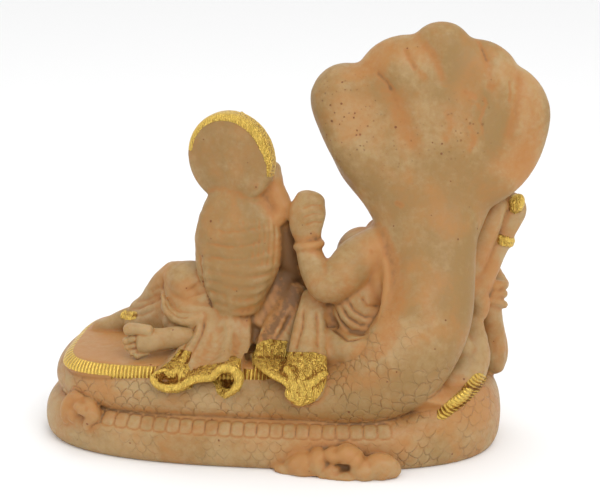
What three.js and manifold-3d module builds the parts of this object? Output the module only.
// A god and a goddess seated on a coiled serpent, cast in marble-dust resin as one solid piece.
// Millimetres. +Z is up, the figures face -Y, the serpent's hood stands towards -X and the goddess's
// foot points to +X. The origin is the centre of the flat underside.
import * as THREE from "three";
import { mergeVertices } from "three/addons/utils/BufferGeometryUtils.js";
import Module from "manifold-3d";

// Driving dimensions.
const BASE_LENGTH = 152.8; // over the lower coil
const BASE_DEPTH = 83;
const SEAT_TOP = 31; // top of the mat above the ground
const HOOD_CENTRE_X = -52.8;
const HALO_RADIUS = 15.3;
const HALO_TURN = 20; // degrees that the goddess turns towards the god

// Plans of the base are ovals: half length a, half depth b and the exponent that squares them off.
// Lower coil: its section is pairs of outward distance and height, and towards the hood's end the
// heights grow.
const LOWER = { halfWidth: 11.3, tallGrowth: 0.42 };
const LOWER_SECTION = [[-6, 0], [9.3, 0], [10.9, 2.4], [11.3, 7], [10, 11.6], [6.4, 14.8], [0, 15.8], [-6, 14.6]];
const LOWER_PATH = { a: BASE_LENGTH / 2 - LOWER.halfWidth, b: BASE_DEPTH / 2 - LOWER.halfWidth, power: 2.7 };
// Upper coil: it lies inside the lower one's outline.
const UPPER = { halfWidth: 9.2, halfHeight: 8.8, middle: 20.6 };
const UPPER_PATH = { a: LOWER_PATH.a - 2.2, b: LOWER_PATH.b - 2.2, power: 3.2 };
const CORE_TOP = 22;
// The mat's rim, which covers the top of the upper coil.
const MAT_RIM = { a: 68, b: 33.4, power: 5 };

const SKIN = new THREE.MeshStandardMaterial({ color: 0xd0a87c, roughness: 0.5, metalness: 0 });

const wasm = await Module();
wasm.setup();

const rad = THREE.MathUtils.degToRad;
const lerp = THREE.MathUtils.lerp;
const V = (x, y, z) => new THREE.Vector3(x, y, z);

// A closed BufferGeometry becomes a solid.
function solid(geometry) {
  const bare = geometry.clone();
  for (const name of Object.keys(bare.attributes)) {
    if (name !== "position") bare.deleteAttribute(name);
  }
  const merged = mergeVertices(bare, 1e-4);
  return new wasm.Manifold(
    new wasm.Mesh({
      numProp: 3,
      vertProperties: new Float32Array(merged.attributes.position.array),
      triVerts: new Uint32Array(merged.index.array),
    }),
  );
}

// Skin over rings of equally many points. closed joins the last ring to the first, and otherwise
// each end is capped to its middle.
function loft(rings, closed = false) {
  const sides = rings[0].length;
  const points = rings.flat();
  const faces = [];
  const spans = closed ? rings.length : rings.length - 1;
  for (let i = 0; i < spans; i++) {
    const next = (i + 1) % rings.length;
    for (let j = 0; j < sides; j++) {
      const k = (j + 1) % sides;
      const [p, q, r, s] = [i * sides + j, i * sides + k, next * sides + k, next * sides + j];
      faces.push(p, q, r, p, r, s);
    }
  }
  if (!closed) {
    for (const [i, flip] of [[0, true], [rings.length - 1, false]]) {
      const hub = points.length;
      points.push(rings[i].reduce((sum, p) => sum.add(p), V(0, 0, 0)).divideScalar(sides));
      for (let j = 0; j < sides; j++) {
        const [p, q] = [i * sides + j, i * sides + ((j + 1) % sides)];
        faces.push(...(flip ? [hub, q, p] : [hub, p, q]));
      }
    }
  }
  const geometry = new THREE.BufferGeometry().setFromPoints(points);
  geometry.setIndex(faces);
  const made = solid(geometry);
  if (made.volume() > 0) return made;
  for (let i = 0; i < faces.length; i += 3) [faces[i + 1], faces[i + 2]] = [faces[i + 2], faces[i + 1]];
  geometry.setIndex(faces);
  return solid(geometry);
}

// The extra ring that rounds a limb's end: how much smaller it is, and how far out in radii.
const END_SHRINK = 0.66;
const END_SHIFT = 0.6;

// A limb of elliptical section through stations [x, y, z, half width, half thickness], with round
// ends. The thickness lies along the direction nearest to face.
function limb(stations, { sides = 6, face = V(0, 1, 0), roundEnd = true } = {}) {
  const route = new THREE.CatmullRomCurve3(stations.map(([x, y, z]) => V(x, y, z)), false, "centripetal");
  const girth = new THREE.SplineCurve(stations.map((s) => new THREE.Vector2(s[3], s[4] ?? s[3])));
  const count = stations.length - 1;
  const ring = (t, shrink, shift) => {
    const centre = route.getPoint(t);
    const along = route.getTangent(t);
    const thick = face.clone().addScaledVector(along, -face.dot(along)).normalize();
    const wide = V(0, 0, 0).crossVectors(thick, along).normalize();
    const size = girth.getPoint(t);
    centre.addScaledVector(along, shift * Math.min(size.x, size.y));
    return Array.from({ length: sides }, (_, j) => {
      const angle = (2 * Math.PI * (j + 0.5)) / sides;
      return centre
        .clone()
        .addScaledVector(wide, size.x * shrink * Math.cos(angle))
        .addScaledVector(thick, size.y * shrink * Math.sin(angle));
    });
  };
  const rings = [ring(0, END_SHRINK, -END_SHIFT)];
  for (let i = 0; i <= count; i++) rings.push(ring(i / count, 1, 0));
  if (roundEnd) rings.push(ring(1, END_SHRINK, END_SHIFT));
  return loft(rings);
}

// An ellipsoid: centre, three half sizes and turns in degrees about X, Y and Z.
function ball([x, y, z], [rx, ry, rz], turn = [0, 0, 0], fine = 7) {
  const geometry = new THREE.SphereGeometry(1, fine, Math.round(fine * 0.7));
  geometry.applyMatrix4(
    new THREE.Matrix4().compose(
      V(x, y, z),
      new THREE.Quaternion().setFromEuler(new THREE.Euler(...turn.map(rad))),
      V(rx, ry, rz),
    ),
  );
  return solid(geometry);
}

// A body of revolution from [radius, height] pairs, its axis turned from +Z to a direction.
function turned(profile, at, axis = V(0, 0, 1), segments = 16) {
  const geometry = new THREE.LatheGeometry(profile.map(([r, h]) => new THREE.Vector2(r, h)), segments);
  geometry.rotateX(Math.PI / 2);
  geometry.applyQuaternion(new THREE.Quaternion().setFromUnitVectors(V(0, 0, 1), axis.clone().normalize()));
  geometry.translate(at.x, at.y, at.z);
  const made = solid(geometry);
  if (made.volume() <= 0) throw new Error("a turned profile runs the wrong way");
  return made;
}

const join = (solids) => solids.reduce((all, one) => all.add(one));

// A point of an oval plan, and the outward direction there.
function oval({ a, b, power }, angle) {
  const squared = (v) => Math.sign(v) * Math.abs(v) ** (2 / power);
  const x = a * squared(Math.cos(angle));
  const y = b * squared(Math.sin(angle));
  const slope = (v, half) => (Math.sign(v) * Math.abs(v / half) ** (power - 1)) / half;
  return { x, y, out: V(slope(x, a), slope(y, b), 0).normalize() };
}

// How much of the tall end section applies: 0 along the coil, 1 at the hood's end.
const tallEnd = (angle) => THREE.MathUtils.smoothstep(-Math.cos(angle), 0.55, 0.93);

function lowerCoil() {
  const turns = 28;
  const rings = [];
  for (let i = 0; i < turns; i++) {
    const angle = (2 * Math.PI * i) / turns;
    const { x, y, out } = oval(LOWER_PATH, angle);
    const growth = 1 + LOWER.tallGrowth * tallEnd(angle);
    rings.push(LOWER_SECTION.map(([outward, height]) => V(x + out.x * outward, y + out.y * outward, height * growth)));
  }
  return loft(rings, true);
}

// The filled middle of the coils, up to just under the mat.
function core() {
  const turns = 20;
  const level = (z) =>
    Array.from({ length: turns }, (_, i) => {
      const { x, y } = oval(LOWER_PATH, (2 * Math.PI * i) / turns);
      return V(x, y, z);
    });
  return loft([level(0), level(CORE_TOP)]);
}

// The upper coil runs from the front round the goddess's end and along the back, swells, and turns up
// into the hood's neck.
function upperCoil() {
  const stations = [];
  for (let degrees = -140; degrees <= 95; degrees += 14.6) {
    const { x, y } = oval(UPPER_PATH, rad(degrees));
    stations.push([x, y, UPPER.middle, UPPER.halfWidth, UPPER.halfHeight]);
  }
  return limb(stations, { sides: 7, face: V(0, 0, 1) }).add(limb(NECK, { sides: 10 }));
}

const NECK = [
  [-4, 28, 21.2, 8.4, 10],
  [-18, 28.2, 21.4, 8.9, 10],
  [-31, 27.8, 23, 10.8, 10.5],
  [-38.4, 27.2, 26.8, 13, 11],
  [-45.5, 26, 33.4, 14.8, 11.5],
  [-52.2, 21.5, 46, 14.6, 11.5],
  [-53.6, 16, 58, 14, 10.8],
  [-53.2, 13.4, 66, 14.6, 9.6],
];

// The mat: a thin cushion over the coils that droops at the hood's end, more so at the back.
function mat() {
  const turns = 24;
  const profile = [[0.6, -15], [0.93, -9], [1, -4.2], [1, -3], [0.95, -0.4], [0.6, 0.4]];
  const droop = (x, y) => {
    const nearness = THREE.MathUtils.smoothstep(-x, 38, 62);
    return nearness * (2.6 + 3.6 * THREE.MathUtils.smoothstep(y, 0, 26));
  };
  const level = ([scale, drop]) =>
    Array.from({ length: turns }, (_, i) => {
      const { x, y } = oval(MAT_RIM, (2 * Math.PI * i) / turns);
      return V(x * scale, y * scale, SEAT_TOP + drop - droop(x * scale, y * scale));
    });
  return loft(profile.map(level));
}

// The hood spreads upwards from the neck as a fan whose sides come forward.
function hoodFan() {
  const levels = [
    // height, middle y, half width, half thickness
    [60, 15.4, 13.8, 10.6],
    [70, 12, 16, 9.6],
    [80, 9, 20.8, 8.7],
    [90, 6.8, 28.4, 8.9],
    [99, 5.6, 34.4, 9.2],
    [108, 4.2, 36.4, 9],
    [117, 2.9, 33, 7.4],
    [123, 1.8, 25.4, 5.2],
    [128, 1, 14, 3],
  ];
  const sides = 14;
  const curl = 7; // how far the side edges come forward
  return loft(
    levels.map(([z, y, wide, thick]) =>
      Array.from({ length: sides }, (_, j) => {
        const angle = (2 * Math.PI * j) / sides;
        const across = Math.cos(angle);
        const forward = curl * (wide / 37) * across * across;
        return V(HOOD_CENTRE_X + 0.8 + wide * across, y - forward + thick * Math.sin(angle), z);
      }),
    ),
  );
}

// The five serpents' hoods along the fan's rim, each a dome over a neck that narrows downwards:
// middle x, y, z, radius and half thickness, and the neck's half width.
const HOODS = [
  [-24.7, -1.2, 112.3, 12.2, 9.8, 9.4],
  [-45, 0.9, 114.9, 19.5, 9.4, 14.4],
  [-54.8, 1.6, 128.3, 10.4, 7, 12.6],
  [-64.9, 0.2, 116.9, 16.3, 9, 12.4],
  [-71.3, -1.5, 107.7, 18.6, 9.4, 14],
];
// Their snouts: x, front of the hood, z.
const SNOUTS = [
  [-23.9, -11.2, 113.6],
  [-41.8, -8.4, 121.6],
  [-56.4, -6.8, 125.4],
  [-69.4, -8.4, 120.8],
  [-76.6, -10.6, 110.2],
];

function serpentHeads() {
  const domeHeights = [0, 0.42, 0.74, 0.97];
  const foot = 84; // height at which the necks part
  const sides = 10;
  const hoods = HOODS.map(([x, y, z, domeRadius, thick, neck]) => {
    const spread = x - HOOD_CENTRE_X;
    const radius = domeRadius / Math.cos(Math.PI / sides); // the polygon's corners reach the outline
    const shoulder = z - 0.45 * domeRadius;
    return limb(
      [
        [HOOD_CENTRE_X + spread * 0.5, 6.4, foot, neck * 0.7, 6.4],
        [HOOD_CENTRE_X + spread * 0.78, 5, (foot + shoulder) / 2, neck, 7.6],
        [HOOD_CENTRE_X + spread * 0.96, y + 1, shoulder, Math.max(neck, radius * 0.92), thick * 0.97],
        ...domeHeights.map((up) => {
          const across = Math.sqrt(1 - up * up);
          return [x, y, z + domeRadius * up, radius * across, thick * across];
        }),
      ],
      { sides, roundEnd: false },
    );
  });
  const snouts = SNOUTS.map(([x, front, z]) => {
    const lean = (x - HOOD_CENTRE_X) / 60;
    return limb(
      [
        [x, front + 5, z + 4, 6.4, 5],
        [x - lean * 1.5, front - 1.5, z + 4, 5.4, 4.4],
        [x - lean * 2.5, front - 7, z + 1.5, 4.2, 3],
        [x - lean * 3, front - 10, z - 0.5, 2.8, 2],
      ],
      { sides: 5, face: V(0, 0, 1) },
    );
  });
  return join([...hoods, ...snouts]);
}

function hand(from, to, width, thick) {
  return limb([[...from, width * 0.7, thick], [...to, width, thick * 0.9]]);
}

function god() {
  const torso = limb(
    [
      [-29, 1, 36, 12.5, 10],
      [-33, 1.5, 46, 10.5, 8],
      [-39, 0, 57, 12, 8.6],
      [-43.5, -1.5, 66, 13, 7.4],
      [-46.5, -3, 72.5, 7, 5.6],
      [-49, -5.5, 78.5, 4.4, 4.4],
    ],
    { sides: 8 },
  );
  const shoulder = ball([-30.4, 5, 62.8], [8.6, 8.6, 8.8]);
  const waist = limb([
    [-32, 8, 63, 7],
    [-30, 11, 55, 8.4],
    [-30.5, 14, 47, 9],
    [-34, 17, 39, 8.4],
  ]);
  const back = ball([-38.5, 11, 56], [8, 9, 11]);
  const head = ball([-51, -8, 86.5], [6.6, 7, 8.2]);
  const crown = turned(
    [[0, -1], [6.8, 0], [7, 2], [5.4, 3.5], [4.6, 12], [3.2, 16], [0, 20]],
    V(-51.4, -7.5, 90),
    V(-0.05, 0.08, 1),
    8,
  );
  const rearLeftArm = limb([
    [-36, 11, 66, 7.4],
    [-29.4, 14, 63, 7.2],
    [-25.6, 16.8, 58.6, 7.2],
    [-20.6, 17.6, 56.4, 7],
    [-16.6, 16.6, 59.6, 5.2],
    [-14.6, 15, 63.6, 4.4],
    [-13.6, 13.8, 67, 4.1],
  ]);
  const leftCuff = turned([[0, -1.4], [5.3, -0.8], [5.3, 0.8], [0, 1.4]], V(-13.7, 13.6, 67.3), V(0.1, -0.15, 1), 9);
  const leftHand = limb([
    [-13.6, 13.2, 68.4, 4.2, 3.6],
    [-12.9, 12.6, 73.4, 5.5, 4.2],
    [-13.3, 11.8, 78.4, 6, 4.4],
    [-14, 10.8, 81.8, 4.9, 4],
  ]);
  const conch = limb([
    [-13.4, 6, 81, 1.4, 1.4],
    [-13.2, 5, 77.4, 4, 4],
    [-13.2, 5, 73.6, 4, 4],
    [-13.6, 6, 69, 1.6, 1.6],
  ]);
  const frontLeftArm = limb([
    [-30, -2, 61, 6.4],
    [-25, -8, 51, 5.6],
    [-20, -15, 47.5, 4.6],
    [-13, -20, 47.6, 3.6],
  ]);
  const frontLeftHand = hand([-12, -20.5, 47.6], [-6.5, -21, 46.4], 3.6, 2.4);
  const rearRightArm = limb([
    [-53, 3, 64, 6],
    [-61, 3, 55, 5.6],
    [-66, 1, 51.6, 5.6],
    [-69.4, -2, 57, 5.2],
    [-71.8, -3.6, 62, 4.8],
    [-74.4, -4.8, 66, 4.2],
  ]);
  const sleeve = limb([
    [-64.5, 1, 58, 5.5],
    [-68, 1, 66, 4.6],
    [-71, 0, 73, 4.2],
    [-73.4, -1, 79.5, 3.6],
  ]);
  const rightBangle = turned([[0, -1.6], [4.5, -1], [4.5, 1], [0, 1.6]], V(-75.2, -5, 67), V(-0.3, -0.15, 1), 8);
  const rightHand = limb([
    [-75.8, -5.2, 69, 4, 3.6],
    [-77, -5.6, 73, 4.8, 3.8],
    [-78, -5.6, 77, 5.2, 3.8],
    [-77.4, -5, 80, 3.8, 3],
  ]);
  const discus = turned([[0, -1.2], [4.8, -0.7], [4.8, 0.7], [0, 1.2]], V(-78.6, -9.8, 77.4), V(0.2, -1, 0.05), 10);
  const frontRightArm = limb([
    [-54, -4, 63, 6.4],
    [-61, -5, 52, 6],
    [-63.4, -5, 46, 6],
    [-68, -9, 47.5, 4.4],
    [-71.2, -11, 51.6, 3.4],
  ]);
  const frontRightHand = ball([-71.6, -11.6, 53], [4.2, 4, 3.4]);
  const robeFold = ball([-66, 2, 43], [6.4, 8, 6.6]);
  const mace = turned(
    [[0, 0], [4.4, 1], [6.2, 7], [5.2, 12], [3.5, 18], [2.7, 26], [4.4, 31.6], [3.2, 34.4], [0, 35.2]],
    V(-72, -11, 18.8),
    V(-0.05, 0, 1),
    8,
  );
  const leftLeg = limb(
    [
      [-26, -3, 38, 10],
      [-12, -11, 40.5, 9],
      [3, -18, 41.5, 7.4],
      [16, -22, 38.4, 6],
      [28, -24.5, 35, 4.2],
    ],
    { face: V(0, 0, 1) },
  );
  const rightLeg = limb(
    [
      [-33, -8, 37, 10],
      [-20, -22, 37.4, 8.6],
      [-6, -29.5, 36.8, 7],
      [8, -30.5, 35.2, 5.6],
      [20, -30, 33.8, 4.2],
    ],
    { face: V(0, 0, 1) },
  );
  const leftFoot = limb(
    [
      [28, -24.5, 34.6, 3.8, 3.4],
      [33, -26, 36.6, 3.4, 4.4],
      [36.4, -26.6, 41, 2.2, 4],
    ],
    { face: V(0, 1, 0) },
  );
  const rightFoot = limb(
    [
      [20, -30, 33.6, 3.6, 3.2],
      [25.6, -30.4, 34.6, 3.2, 4],
      [29, -30.6, 38, 2.2, 3.6],
    ],
    { face: V(0, 1, 0) },
  );
  return join([
    torso, shoulder, waist, back, head, crown, rearLeftArm, leftCuff, leftHand, conch, frontLeftArm, frontLeftHand,
    rearRightArm, sleeve, rightBangle, rightHand, discus, frontRightArm, frontRightHand, robeFold, mace, leftLeg, rightLeg,
    leftFoot, rightFoot,
  ]);
}

// The round bolster that the god leans on lies across the seat under his right arm.
function bolster() {
  const radius = 8.2;
  const half = 17;
  const profile = [
    [0, -half - 2], [radius * 0.7, -half - 1.2], [radius, -half + 4],
    [radius, half - 4], [radius * 0.7, half + 1.2], [0, half + 2],
  ];
  return turned(profile, V(-61.4, -4, 31.4), V(0.06, 1, 0), 10);
}

// Ridges of the veil on the goddess's back.
function veil() {
  const levels = [
    // height, middle x, middle y, half width, half thickness
    [85, 9.6, 8.2, 8.4, 4.4],
    [79, 9.8, 10, 11.2, 5.8],
    [72, 9.4, 11.3, 13.8, 6.8],
    [65, 9.2, 12, 14.4, 7.2],
    [58, 9.6, 12.8, 13.4, 7.4],
    [51, 9.7, 13.5, 10.3, 7.2],
    [44.6, 10, 14.2, 8.2, 6.4],
  ];
  const sides = 10;
  const rings = [];
  const steps = (levels.length - 1) * 2;
  for (let i = 0; i <= steps; i++) {
    const [low, part] = [Math.min(Math.floor(i / 2), levels.length - 2), i === steps ? 1 : (i % 2) / 2];
    const [z, x, y, wide, thick] = levels[low].map((v, k) => lerp(v, levels[low + 1][k], part));
    const swell = 0.5 * Math.sin((Math.PI * i) / 2) + (i % 2 ? 0.25 : 0);
    rings.push(
      Array.from({ length: sides }, (_, j) => {
        const angle = (2 * Math.PI * j) / sides;
        return V(x + (wide + swell * 0.4) * Math.cos(angle), y + (thick + swell) * Math.sin(angle), z);
      }),
    );
  }
  return loft(rings);
}

function halo() {
  const turn = rad(HALO_TURN);
  const axis = V(Math.sin(turn), Math.cos(turn), -0.06);
  const profile = [
    [0, -4], [HALO_RADIUS, -3.6], [HALO_RADIUS - 0.3, 0.6], [HALO_RADIUS - 1.3, 1.8], [0, 3.2],
  ];
  return turned(profile, V(12.2, 10.5, 94.4), axis, 16);
}

function goddess() {
  const torso = limb(
    [
      [11, 4, 37, 14, 11],
      [10, 5, 47, 10.5, 8.4],
      [9, 3.5, 60, 10.5, 8],
      [8.4, 2.5, 71, 11.6, 7],
      [9.2, 2.5, 80, 5, 4.6],
    ],
    { sides: 8 },
  );
  const head = ball([9.6, 3.4, 93], [6, 6.4, 7.4]);
  const crown = turned(
    [[0, -1], [6, 0], [6.2, 1.8], [4.8, 3], [3.6, 7.6], [0, 11.4]],
    V(9.2, 3, 96.6),
    V(-0.03, 0.02, 1),
    8,
  );
  const rightArm = limb([
    [-0.6, 4, 77, 5.6],
    [-4.4, 6, 69, 5.6],
    [-6.6, 6, 61, 5],
    [-10, 2, 55, 4.2],
    [-15, -6, 51, 3.2],
  ]);
  const rightHand = hand([-15.4, -7.4, 50.6], [-18.4, -12, 48.8], 3.2, 2);
  const shoulderKnot = limb([
    [0.4, 5.6, 90, 4.2],
    [-1.2, 7.6, 84.4, 4],
    [-5, 9.4, 77.4, 3.6],
  ]);
  const leftArm = limb([
    [18, 2, 73.4, 5.2],
    [22, -4, 63, 4.6],
    [20, -11, 61, 4],
    [15.4, -13.6, 68, 3.2],
    [14.4, -14, 73, 2.8],
  ]);
  const lotus = turned([[0, 0], [1.4, 0.4], [3.6, 3], [4.2, 5.6], [2.8, 8], [0, 9]], V(14.2, -14.2, 73), V(0, -0.2, 1), 8);
  const thigh = limb(
    [
      [13, 6, 42.5, 9.6],
      [21, 6.5, 48, 10],
      [28, 5.6, 51.4, 7.8],
      [31.8, 4, 52.4, 5.8],
    ],
  );
  const thighCloth = limb(
    [
      [30.6, 6, 50, 5.6, 5],
      [29, 9, 44.6, 6.6, 5.6],
      [25, 12, 42.4, 6.4, 6],
      [18, 13, 42, 6.4, 6.4],
    ],
  );
  const shin = limb([
    [31.4, 3, 52, 6],
    [35.6, 1.5, 48.4, 5.6],
    [41.2, -1, 41, 5],
    [45.4, -3, 38, 4.4],
  ]);
  const farFoot = limb(
    [
      [44.6, -3, 36.8, 4.2, 4.2],
      [50.6, -4.2, 34.8, 3.7, 3.9],
      [56.6, -5.2, 32.4, 2.9, 4],
      [61.2, -5.8, 31.6, 1.8, 3.6],
    ],
  );
  const nearFoot = limb(
    [
      [28.8, 18.6, 36.2, 4.4, 3.8],
      [33.6, 21, 36.2, 4, 3.4],
      [38.6, 23.4, 36.6, 4.6, 3.2],
      [41.6, 24.8, 36.4, 4.2, 2.6],
    ],
  );
  const bigToe = limb([[40.6, 24.6, 40, 1.9], [44.6, 26, 39.6, 1.7]]);
  const toeStations = [];
  for (let i = 0; i <= 6; i++) {
    toeStations.push([44.4 - 0.45 * i, 25.6 + 0.1 * i, 37 - 0.8 * i, i % 2 ? 0.95 : 1.6, 1.7]);
  }
  const toes = limb(toeStations, { sides: 5 });
  const foldedLeg = limb(
    [
      [4, -4, 38.5, 8.6],
      [-3, -10, 37.6, 7.4],
      [4, -14, 36.4, 6.2],
      [16, -11, 35.8, 5],
      [27, 12, 36, 4.6],
      [29, 17, 36, 4.4],
    ],
    { face: V(0, 0, 1) },
  );
  return join([
    torso, veil(), halo(), head, crown, rightArm, rightHand, shoulderKnot, leftArm, lotus, thigh, thighCloth,
    shin, farFoot, nearFoot, bigToe, toes, foldedLeg,
  ]);
}

// A hanging cloth: rows of points from top to hem, each row [x, y, z] left to right, given a thickness
// along +Y and closed.
function cloth(rows, thick) {
  const rings = rows.map((row) => [
    ...row.map(([x, y, z]) => V(x, y, z)),
    ...[...row].reverse().map(([x, y, z]) => V(x, y - thick, z)),
  ]);
  return loft(rings);
}

// The goddess's skirt falls behind her from under the veil, spreads over the mat and ends on the coil in
// a rolled wavy hem.
function skirt() {
  const columns = 8;
  const levels = [
    // height, left x, right x, y in the middle, depth of the folds
    [48, 17, 4.6, 17.5, 0.2],
    [42, 20.4, 4.2, 20.5, 0.8],
    [36, 24.6, 3.2, 26, 1.2],
    [31.4, 29.6, 3.2, 32.6, 1.3],
    [27.6, 31.4, 5, 37.4, 1.2],
  ];
  const rows = levels.map(([z, left, right, y, fold]) =>
    Array.from({ length: columns }, (_, i) => {
      const t = i / (columns - 1);
      return [lerp(left, right, t), y + fold * Math.cos(t * Math.PI * 4), z];
    }),
  );
  const hem = limb(
    [
      [34, 36, 29, 1.6],
      [30, 38.6, 26.2, 2],
      [25.4, 39.4, 25.6, 1.8],
      [20, 38.8, 27.6, 1.6],
      [14.4, 38.8, 27.4, 1.6],
      [10.6, 40, 25, 1.8],
      [6.8, 39.6, 26, 1.6],
      [5, 38, 30, 1.5],
      [8, 36, 33.4, 1.3],
    ],
    { sides: 5 },
  );
  return cloth(rows, 12).add(hem);
}

// The two ends of the god's shawl fall from his elbow. The near one lies over the coil and curls.
function shawlEnds() {
  const near = limb(
    [
      [-16, 14, 50.6, 4.4, 3],
      [-15, 19.6, 43, 5.2, 3],
      [-14.9, 26, 36.8, 6, 3],
      [-15.4, 33.6, 32, 6.8, 2.8],
      [-15, 38.4, 27.6, 6.6, 2.6],
      [-12.4, 39.8, 23.8, 3.8, 2],
    ],
    { sides: 7 },
  );
  const rim = limb(
    [
      [-9.4, 36.4, 33, 1.2],
      [-12.4, 38.6, 29.6, 1.3],
      [-17, 39.2, 29, 1.3],
      [-22, 37, 32, 1.2],
    ],
    { sides: 5 },
  );
  const far = limb(
    [
      [-9, 12, 52, 3.4, 2.6],
      [-6.4, 16, 45, 4.4, 2.8],
      [-3.6, 22, 38, 5.4, 2.8],
      [-3.3, 27.4, 32.4, 5.8, 2.6],
    ],
    { sides: 7 },
  );
  const hipFold = limb([
    [-6.6, 8, 58, 3, 2.4],
    [-3.4, 12, 50, 3.6, 2.6],
    [1.6, 17, 42, 3.4, 2.6],
  ]);
  return join([near, rim, far, hipFold]);
}

// Foam lumps cast against the lower coil: at the near corner of the goddess's end, under the shawl's
// end, and the like on the front.
function foam() {
  const lumps = [
    [[57.4, 31.6, 14], [3.4, 3.4, 5.4]],
    [[62.4, 28.4, 13.6], [2.8, 3, 5.4]],
    [[60.2, 30, 18.4], [3.4, 3, 3]],
    [[-16.4, 41.6, 4], [8.6, 5, 5]],
    [[-28.8, 42.8, 5], [8, 5.6, 6.6]],
    [[-38.6, 41, 3.6], [7.6, 5, 5]],
    [[16, -40.4, 5.6], [9, 4.8, 5]],
    [[-60, -31.6, 6], [7, 5.4, 5.6]],
  ];
  const ground = solid(new THREE.BoxGeometry(BASE_LENGTH * 2, BASE_DEPTH * 2, 20).translate(0, 0, -10));
  return join(lumps.map(([at, size]) => ball(at, size, [0, 0, 0], 6))).subtract(ground);
}

const figure = join([
  lowerCoil(), core(), upperCoil(), mat(), hoodFan(), serpentHeads(), bolster(), god(), goddess(), skirt(),
  shawlEnds(), foam(),
]);

// The casting is solid, so pockets that the parts enclose between them are filled: only the outer
// shell is kept.
const [casting, ...pockets] = figure.decompose().sort((p, q) => q.volume() - p.volume());
if (pockets.some((pocket) => pocket.volume() > 0)) throw new Error("a part floats free of the casting");

// The joined solid as a mesh.
function meshOf(made, name, material) {
  const { vertProperties, triVerts, numProp } = made.getMesh();
  const count = vertProperties.length / numProp;
  const position = new Float32Array(count * 3);
  for (let i = 0; i < count; i++) position.set(vertProperties.subarray(i * numProp, i * numProp + 3), i * 3);
  const geometry = new THREE.BufferGeometry()
    .setAttribute("position", new THREE.BufferAttribute(position, 3))
    .setIndex(new THREE.BufferAttribute(new Uint32Array(triVerts), 1));
  const mesh = new THREE.Mesh(geometry, material);
  mesh.name = name;
  return mesh;
}

const group = new THREE.Group();
group.add(meshOf(casting, "vishnu_lakshmi_figure", SKIN));
export default group;
